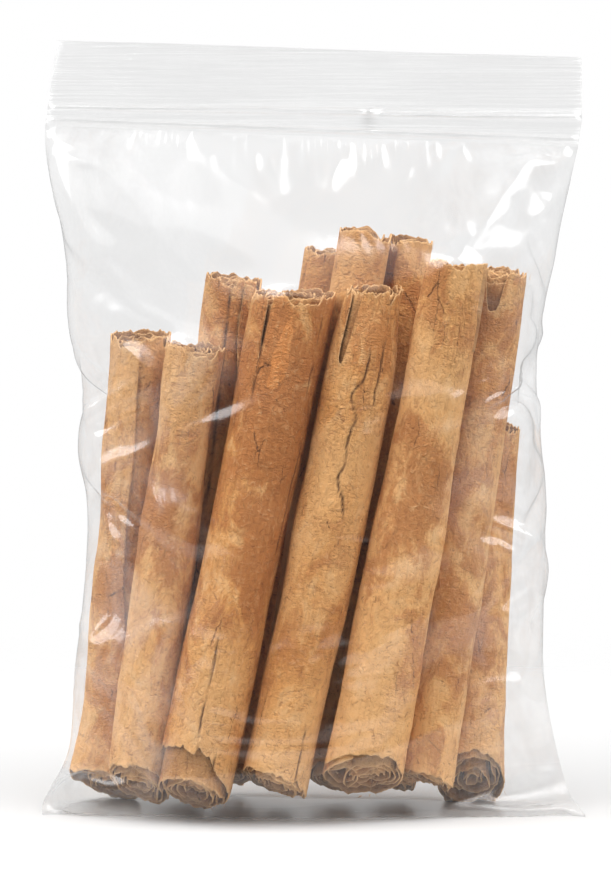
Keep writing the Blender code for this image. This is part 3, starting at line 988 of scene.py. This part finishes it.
@dataclass
class FilmBody:
    """The film from its bottom fold to the header, relaxed like a sheet that cannot stretch.

    Rows run up from the bottom fold. Columns run round the bag: across the front from the
    left seam to the right, then across the back. The bag was flat, so all its columns are as
    long as the longest, and the spare length near the seams gathers in creases. The film
    stays outside the quills, above the floor and near the tight wrap; its top is held.
    """

    solids: list
    width: float = 127.6
    across: int = 43
    rows: int = 60
    gap: float = 0.6
    spare: float = 0.9  # share of the seams' spare length that isn't taken up by fine folds
    seam_guide: float = 0.08
    middle_room: float = 1.2  # how far the film may stand off the tight wrap in the middle
    side_room: float = 6.0
    shear: float = 0.01  # how firmly the cells by the seams keep their diagonals
    gather: float = 0.05  # share of the width that slips from the middle to the sides

    # Steps of time, resistance to bending and size of the first creases, at each fineness
    LEVELS = ((60, 0.08, 1.3), (34, 0.05, 0.6), (16, 0.03, 0.3))
    PASSES = 8
    FALL = 0.003
    DRAG = 0.92

    @staticmethod
    def _share(columns: int) -> tuple:
        """Return each column's share of the way across, and -1 in front or 1 behind."""
        place = np.arange(columns) / (columns // 2)
        return np.where(place <= 1, place, 2 - place), np.where(place <= 1, -1.0, 1.0)

    def crumple(self, points: np.ndarray, size: float, seed: int) -> np.ndarray:
        """Return the film with slight first creases, for its slack to gather in."""
        share, side = self._share(points.shape[1])
        row = np.arange(points.shape[0])[:, None]
        column = np.arange(points.shape[1])[None, :]
        wave = Grain(seed).layered((column + 0.6 * row) / 7, (row - 0.3 * column) / 11, 3)
        slack = np.abs(2 * share - 1) ** 1.6
        ends = np.clip(np.minimum(row, points.shape[0] - 1 - row) / 6, 0, 1)
        points = points.copy()
        points[..., 1] += (size * wave * slack * ends * side).astype(np.float32)
        points[..., 0] += (0.5 * size * np.roll(wave, 5, axis=0) * slack * ends).astype(np.float32)
        return points

    def relax(self, points: np.ndarray, wrap: TightWrap, tall: np.ndarray, steps: int,
              bend: float) -> np.ndarray:
        """Let the film settle.

        Args:
            points: Rows by columns of places.
            wrap: The tight film that it stays near.
            tall: Each column's rest height of one row.
            steps: Steps of time.
            bend: How strongly the film resists bending, from 0 to 1.
        """
        half = points.shape[1] // 2
        share, _ = self._share(points.shape[1])
        wide = self.width / half * (1 + self.gather * (np.abs(2 * share - 1) ** 2 - 1 / 3))
        wide = wide.astype(np.float32)
        slant = [np.sqrt(np.roll(wide, shift) ** 2 + tall**2) for shift in (0, 1)]
        firm = (self.shear * np.abs(2 * share - 1) ** 4).astype(np.float32)
        top = points[-1].copy()
        before = points.copy()
        for _ in range(steps):
            speed = (points - before) * np.float32(self.DRAG)
            before = points.copy()
            points = points + speed
            points[..., 2] -= np.float32(self.FALL)
            for turn in range(self.PASSES):
                self._stretch(points, wide, tall, slant, firm)
                self._bend(points, wide, tall, bend)
                if turn % 2 == 1:
                    self._contact(points, half)
                points[-1] = top
            self._hold_near(points, wrap, half)
        return points

    @staticmethod
    def _pull(first: np.ndarray, second: np.ndarray, rest: np.ndarray, share: float) -> np.ndarray:
        """Return how far to move the first points so that pairs keep their distance."""
        gap = second - first
        length = np.sqrt(np.einsum("...k,...k->...", gap, gap)).clip(1e-5)
        return gap * ((length - rest) / length * np.float32(share))[..., None]

    def _stretch(self, points: np.ndarray, wide: np.ndarray, tall: np.ndarray,
                 slant: list, firm: np.ndarray) -> None:
        """Hold the cells' widths, heights and diagonals."""
        for start in (0, 1):
            first, second = points[:, start:-1:2], points[:, start + 1::2]
            move = self._pull(first, second, wide[start:-1:2], 0.5)
            first += move
            second -= move
        move = self._pull(points[:, -1], points[:, 0], wide[-1], 0.5)
        points[:, -1] += move
        points[:, 0] -= move
        for start in (0, 1):
            first, second = points[start:-1:2], points[start + 1::2]
            move = self._pull(first, second, tall, 0.5)
            first += move
            second -= move
            for way, rest in zip((1, -1), slant):
                other = np.roll(second, -way, axis=1)
                move = self._pull(first, other, rest, firm)
                first += move
                second -= np.roll(move, way, axis=1)

    def _bend(self, points: np.ndarray, wide: np.ndarray, tall: np.ndarray,
              bend: float) -> None:
        """Resist bending along rows and columns."""
        for reach in (2, 4):
            other = np.roll(points, -reach, axis=1)
            span = sum(np.roll(wide, -step) for step in range(reach))
            move = self._pull(points, other, span, 0.5 * bend)
            points += move - np.roll(move, reach, axis=1)
            first, second = points[:-reach], points[reach:]
            move = self._pull(first, second, tall * reach, 0.5 * bend)
            first += move
            second -= move

    def _contact(self, points: np.ndarray, half: int) -> None:
        """Keep the film out of the quills, above the floor, and its two walls apart."""
        flat = points.reshape(-1, 3)
        for solid in self.solids:
            solid.push_out(flat, self.gap)
        points[..., 2] = np.maximum(points[..., 2], 0.05)
        points[..., 0] = points[..., 0].clip(-self.width / 2 - 0.4, self.width / 2 + 0.4)
        points[0, :, 2] = 0.05
        front = points[:, 1:half]
        back = points[:, :half:-1]
        overlap = (front[..., 1] - back[..., 1] + 0.3).clip(0)
        front[..., 1] -= overlap / 2
        back[..., 1] += overlap / 2
        middle = (points[0, 1:half] + points[0, :half:-1]) / 2
        points[0, 1:half] = middle
        points[0, :half:-1] = middle
        for column, profile in ((0, LEFT_SEAM), (half, RIGHT_SEAM)):
            target = np.interp(points[:, column, 2], *zip(*profile))
            points[:, column, 0] += self.seam_guide * (target - points[:, column, 0])

    def _hold_near(self, points: np.ndarray, wrap: TightWrap, half: int) -> None:
        """Keep the film from standing far off the tight wrap, since no air fills the bag."""
        share, _ = self._share(points.shape[1])
        room = self.middle_room + (self.side_room - self.middle_room) * np.abs(2 * share - 1) ** 2
        for front, part in ((True, slice(1, half)), (False, slice(half + 1, None))):
            wall = points[:-1, part]
            limit = wrap.reach(wall[..., 0], wall[..., 2], front)
            if front:
                wall[..., 1] = np.maximum(wall[..., 1], limit - room[part])
            else:
                wall[..., 1] = np.minimum(wall[..., 1], limit + room[part])

    @staticmethod
    def refine(points: np.ndarray) -> np.ndarray:
        """Return the film with twice as many rows and columns."""
        between = (points + np.roll(points, -1, axis=1)) / 2
        wide = np.stack([points, between], axis=2).reshape(points.shape[0], -1, 3)
        fine = np.empty((2 * points.shape[0] - 1, wide.shape[1], 3), points.dtype)
        fine[::2] = wide
        fine[1::2] = (wide[1:] + wide[:-1]) / 2
        return fine

    def settle(self) -> np.ndarray:
        """Return the settled film."""
        wrap = TightWrap(self.solids, 2 * self.across, self.gap)
        points, lengths = wrap.sheet(self.rows)
        share, _ = self._share(2 * self.across)
        side = np.abs(2 * share - 1)
        spare = self.spare * side**1.5 * (1 - 0.6 * side**12)
        lengths = (lengths + spare * (lengths.max() - lengths)).astype(np.float32)
        for level, (steps, bend, crease) in enumerate(self.LEVELS):
            if level:
                points = self.refine(points)
                between = (lengths + np.roll(lengths, -1)) / 2
                lengths = np.stack([lengths, between], axis=1).ravel()
            tall = (lengths / (len(points) - 1)).astype(np.float32)[None, :]
            points = self.relax(self.crumple(points, crease, 71 + level), wrap, tall, steps, bend)
        return self.fold(self._iron(points.astype(float)))

    def _iron(self, points: np.ndarray) -> np.ndarray:
        """Return the film with its seams ironed straight along their length."""
        half = points.shape[1] // 2
        reach = np.minimum(np.arange(2 * half) % half, half - np.arange(2 * half) % half)
        share = np.clip(1.15 - reach / 14, 0, 1)[None, :, None]
        smooth = points.copy()
        for _ in range(90):
            smooth[1:-1] = (smooth[:-2] + 2 * smooth[1:-1] + smooth[2:]) / 4
        points = points * (1 - share) + smooth * share
        self._contact(points, half)
        return points

    @staticmethod
    def fold(points: np.ndarray) -> np.ndarray:
        """Return the film with its sharp folds raised along its normals."""
        across = np.roll(points, -1, axis=1) - np.roll(points, 1, axis=1)
        normal = np.cross(across, np.gradient(points, axis=0))
        normal /= np.linalg.norm(normal, axis=2, keepdims=True).clip(1e-6)
        half = points.shape[1] // 2
        reach = np.minimum(np.arange(2 * half) % half, half - np.arange(2 * half) % half)
        ends = np.clip(np.minimum(np.arange(len(points)), len(points) - 1
                                  - np.arange(len(points))) / 8, 0, 1)
        x, z, grain = points[..., 0], points[..., 2], Grain(88)
        rise = np.zeros_like(x)
        for crease in CREASES:
            part = slice(0, half) if crease.front else slice(half, None)
            rise[:, part] += crease.rise(x[:, part], z[:, part], grain)
        rise *= np.clip(reach / 4, 0, 1)[None, :] * ends[:, None]
        return points + normal * rise[..., None]

    def build(self, material: bpy.types.Material) -> bpy.types.Object:
        """Settle the film and return it as a smooth mesh."""
        points = self.settle()
        surface = Surface()
        half = points.shape[1] // 2
        closed = np.concatenate([points, points[:, :1]], axis=1)
        row = np.arange(points.shape[0])[:, None] * 178.0 / points.shape[0]
        column = np.arange(half + 1)[None, :] * self.width / half
        for side, part in enumerate((closed[:, :half + 1], closed[:, half:])):
            places = np.stack(np.broadcast_arrays(column + side * 200, row), axis=-1)
            surface.add_grid(part, places, {})
        made = surface.make("film_body", material)
        LOG.info("film_body: %d faces", len(made.data.polygons))
        return made


@dataclass
class ZipHeader:
    """The flat top of the bag: two tracks of the zip, and the open lip above them."""

    columns: int = 260
    steps: int = 3
    wave: float = 0.7
    wave_length: float = 74.0
    kink: float = 14.0

    # Height at the left and right end, and half the thickness, from the body up
    LEVELS = ((159.0, 154.0, 0.05), (159.5, 154.6, 0.35), (160.0, 155.3, 0.95),
              (160.6, 156.0, 0.95), (161.1, 156.6, 0.5), (161.6, 157.4, 0.42),
              (162.2, 160.2, 0.42), (162.6, 160.9, 1.15), (163.1, 161.5, 1.35),
              (163.6, 162.1, 1.15), (164.1, 162.7, 0.42), (165.6, 164.2, 0.36),
              (167.0, 165.4, 0.40), (169.0, 166.9, 0.36), (171.2, 168.6, 0.42),
              (173.4, 170.4, 0.40), (175.8, 172.4, 0.48), (178.6, 174.6, 0.60))

    def build(self, material: bpy.types.Material) -> bpy.types.Object:
        """Return the header as one mesh of two walls that meet at the sides."""
        surface = Surface()
        levels = np.array(self.LEVELS)
        row = np.linspace(0, len(levels) - 1, (len(levels) - 1) * self.steps + 1)
        left, right, half = (np.interp(row, np.arange(len(levels)), levels[:, k])[:, None]
                             for k in range(3))
        share = np.linspace(0, 1, self.columns)[None, :]
        low = np.interp(left, *zip(*LEFT_SEAM))
        high = np.interp(right, *zip(*RIGHT_SEAM))
        x = low + (high - low) * share
        z = left + (right - left) * share
        reach = np.minimum(x - low, high - x)
        grain = Grain(93)
        rise = ((z - ZIP_FOOT[0]) / 15).clip(0, 1.4)
        middle = seam_y(z) + self.wave * rise * np.sin(2 * np.pi * x / self.wave_length + 0.8)
        middle = middle + 0.35 * rise * grain.layered(x / 11, z / 9, 2)
        pinch = np.exp(-((x - self.kink) / 1.6) ** 2)
        track = (half > 0.9).astype(float)
        popped = np.clip((x - self.kink) / 3, 0, 1) * ((row >= 6) & (row <= 10))[:, None]
        ledge = 0.42 + np.interp(row, (6, 6.5, 10), (0, 1.1, 0))[:, None]
        half = half * (1 - popped) + ledge * popped
        half = half * (1 + 0.5 * pinch * track)
        z = z + 0.12 * rise * grain.at(x / 17, np.full_like(x, 5.5))
        edge = np.sqrt(np.clip(reach / 1.6, 0, 1))
        glint = pinch * np.exp(-((z - 160.2) / 2.6) ** 4)
        thick = np.clip((half - 0.5) / 0.4, 0, 1) * (0.4 + 0.6 * popped) + glint
        for wall, seed in ((-1, 3.0), (1, 60.0)):
            ripple = 0.10 * grain.layered(x / 40 + seed, z / 1.1 + seed, 2)
            y = middle + wall * (half + ripple * (half < 0.7)) * edge
            places = np.stack([x + wall * 200, z], axis=-1)
            surface.add_grid(np.stack([x, y, z], axis=-1), places, {"track": thick})
        made = surface.make("zip_header", material)
        LOG.info("zip_header: %d faces", len(made.data.polygons))
        return made


@dataclass(frozen=True)
class FilmFinish:
    """Clear polyethylene: nearly invisible face on, glossy, and milkier towards the seams."""

    name: str = "clear_film"
    clear: float = 0.95
    face_on: float = 0.060
    rough: float = 0.18
    foot_rough: float = 0.30
    haze: float = 0.0
    streaks: float = 0.0
    veil: float = 0.0  # share of light that the film scatters by the seams
    half_width: float = 70.0
    tracks: float = 0.0  # how much more of the light the thick tracks of the zip mirror

    def material(self) -> bpy.types.Material:
        """Return the film's material."""
        shade = Shade(bpy.data.materials.new(self.name))
        flat = shade.node("ShaderNodeUVMap", {"uv_map": "place"})
        bump = {}
        if self.streaks:
            height = shade.noise(shade.stretch(flat, (0.02, 1.3, 1)), 1.0, 3, 0.6)
            bump["Normal"] = shade.node("ShaderNodeBump", None, {
                "Strength": self.streaks, "Distance": 0.4 * MM, "Height": height})
        facing = shade.node("ShaderNodeLayerWeight", None, {"Blend": 0.5, **bump}, "Facing")
        height_up = shade.node("ShaderNodeSeparateXYZ", None, {0: flat}, "Y")
        rough = self.foot_rough - (self.foot_rough - self.rough) * height_up.rise(16.0, 34.0)
        gloss = shade.node("ShaderNodeBsdfGlossy", None, {
            "Color": (1.0, 1.0, 1.0, 1.0), "Roughness": rough, **bump})
        through = shade.node("ShaderNodeBsdfTransparent", None, {
            "Color": (self.clear, self.clear, self.clear, 1.0)})
        share = self.face_on + (1 - self.face_on) * facing ** 5.0
        if self.tracks:
            thick = shade.node("ShaderNodeAttribute", {"attribute_name": "track"}, None, "Fac")
            share = share + thick * self.tracks
        surface = shade.node("ShaderNodeMixShader", None, {0: share, 1: through, 2: gloss})
        haze = self.haze
        if self.streaks:
            lines = shade.noise(shade.stretch(flat, (0.014, 0.75, 1)), 1.0, 3, 0.6)
            area = shade.noise(shade.stretch(flat, (0.022, 0.11, 1)), 1.0, 2)
            haze = (0.6 + lines.rise(0.46, 0.66) * area.rise(0.42, 0.62)) * self.haze
        if self.veil:
            across = shade.node("ShaderNodeSeparateXYZ", None, {0: flat}, "X")
            off = (across - self.half_width).size()
            off = (off - 200.0).size().least(off)
            cloud = shade.noise(shade.stretch(flat, (0.09, 0.05, 1)), 1.0, 3, 0.6, 1.0)
            scuff = cloud.rise(0.40, 0.66)
            haze = off.rise(24.0, 46.0) * (0.25 + 0.75 * scuff) * self.veil
        if self.haze or self.veil:
            dust = shade.node("ShaderNodeBsdfDiffuse", None, {"Color": (0.8, 0.8, 0.8, 1.0)})
            surface = shade.node("ShaderNodeMixShader", None, {0: haze, 1: surface, 2: dust})
        return shade.finish(surface)


# ---------------------------------------------------------------- studio


@dataclass(frozen=True)
class Softbox:
    """One soft light: where it stands, its width and height, and how bright its face is."""

    name: str
    place: tuple
    size: tuple
    brightness: float

    def build(self, aim_height: float = 80.0) -> None:
        """Add the light, facing the middle of the bag."""
        data = bpy.data.lights.new(self.name, "AREA")
        data.shape = "RECTANGLE"
        data.size, data.size_y = (side * MM for side in self.size)
        data.energy = math.pi * self.brightness * data.size * data.size_y
        made = bpy.data.objects.new(self.name, data)
        made.location = Vector(self.place) * MM
        aim = Vector((0, 0, aim_height)) * MM - made.location
        made.rotation_euler = aim.to_track_quat("-Z", "Y").to_euler()
        made.visible_camera = False
        bpy.context.scene.collection.objects.link(made)


class Studio:
    """Pale floor, soft light and the camera."""

    VIEW_HEIGHT = 204.2
    DISTANCE = 750.0
    ELEVATION = 5.0
    TARGET = (-0.6, 0.0, 86.1)
    FLOOR_FADE = (110.0, 300.0)
    AMBIENT = 0.76
    FRONT_DIM = 0.72

    SOFTBOXES = (
        Softbox("box_left", (-528, -230, 712), (760, 620), 5.8),
        Softbox("box_right", (528, -230, 712), (760, 620), 5.0),
        Softbox("box_front", (0, -600, 700), (1000, 500), 1.0),
    )

    def camera(self) -> None:
        """Place the camera in front of the shown side, a little above it."""
        data = bpy.data.cameras.new("camera")
        data.sensor_fit = "VERTICAL"
        data.sensor_height = 36.0
        data.lens = 36.0 * self.DISTANCE / self.VIEW_HEIGHT
        data.clip_start = 0.01
        made = bpy.data.objects.new("camera", data)
        bpy.context.scene.collection.objects.link(made)
        rise = math.radians(self.ELEVATION)
        away = Vector((0, -math.cos(rise), math.sin(rise))) * self.DISTANCE
        made.location = (Vector(self.TARGET) + away) * MM
        made.rotation_euler = (math.pi / 2 - rise, 0, 0)
        bpy.context.scene.camera = made

    def world(self) -> None:
        """Surround the bag with even light, darker in front, and white where it is seen."""
        world = bpy.data.worlds.new("studio")
        bpy.context.scene.world = world
        shade = Shade(world)
        seen = shade.node("ShaderNodeLightPath", None, None, "Is Camera Ray")
        way = shade.node("ShaderNodeTexCoord", None, None, "Generated")
        split = {0: way}
        ahead = shade.node("ShaderNodeSeparateXYZ", None, split, "Y")
        up = shade.node("ShaderNodeSeparateXYZ", None, split, "Z")
        dim = self.FRONT_DIM * (-1 * ahead).rise(0.0, 0.85)
        level = self.AMBIENT * (1 - dim) * (0.55 + 0.65 * up.rise(-0.3, 0.9))
        felt = shade.node("ShaderNodeBackground", None, {0: (0.99, 0.995, 1.0, 1.0), 1: level})
        white = shade.node("ShaderNodeBackground", None, {0: (1.0, 1.0, 1.0, 1.0), 1: 1.0})
        shade.finish(shade.node("ShaderNodeMixShader", None, {0: seen, 1: felt, 2: white}))
        bpy.context.scene.view_settings.view_transform = "Standard"

    def floor(self) -> bpy.types.Object:
        """Lay the pale floor, which fades out before its rim."""
        bpy.ops.mesh.primitive_circle_add(vertices=96, radius=self.FLOOR_FADE[1] * MM * 1.05,
                                          fill_type="NGON")
        made = bpy.context.object
        made.name = "floor"
        shade = Shade(bpy.data.materials.new("pale_floor"))
        place = shade.node("ShaderNodeTexCoord", None, None, "Object")
        reach = shade.node("ShaderNodeVectorMath", {"operation": "LENGTH"}, {0: place}, "Value")
        board = shade.node("ShaderNodeBsdfPrincipled", None, {
            "Base Color": (0.57, 0.57, 0.57, 1.0), "Roughness": 0.9,
            "Specular IOR Level": 0.1})
        clear = shade.node("ShaderNodeBsdfTransparent")
        low, high = (edge * MM for edge in self.FLOOR_FADE)
        surface = shade.node("ShaderNodeMixShader", None, {0: reach.rise(low, high), 1: board,
                                                           2: clear})
        made.data.materials.append(shade.finish(surface))
        return made

    def build(self) -> None:
        """Set up the whole studio."""
        self.camera()
        self.world()
        for softbox in self.SOFTBOXES:
            softbox.build()
        self.floor()


def place(piece: bpy.types.Object, slot: str) -> None:
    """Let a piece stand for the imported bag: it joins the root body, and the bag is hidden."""
    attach(piece, "root")
    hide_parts("bag")


def main() -> None:
    """Build every piece in order and report each one."""
    logging.basicConfig(level=logging.INFO, format="%(message)s")
    Studio().build()
    contents = quills()
    clear = FilmFinish(veil=0.13)
    zip_film = FilmFinish("zip_film", haze=0.05, streaks=0.9, tracks=0.16)
    place(FilmBody([quill.solid() for quill in contents]).build(clear.material()), "film")
    place(ZipHeader().build(zip_film.material()), "film")
    for quill in contents:
        place(quill.build(), "bark")


if __name__ == "__main__":
    main()
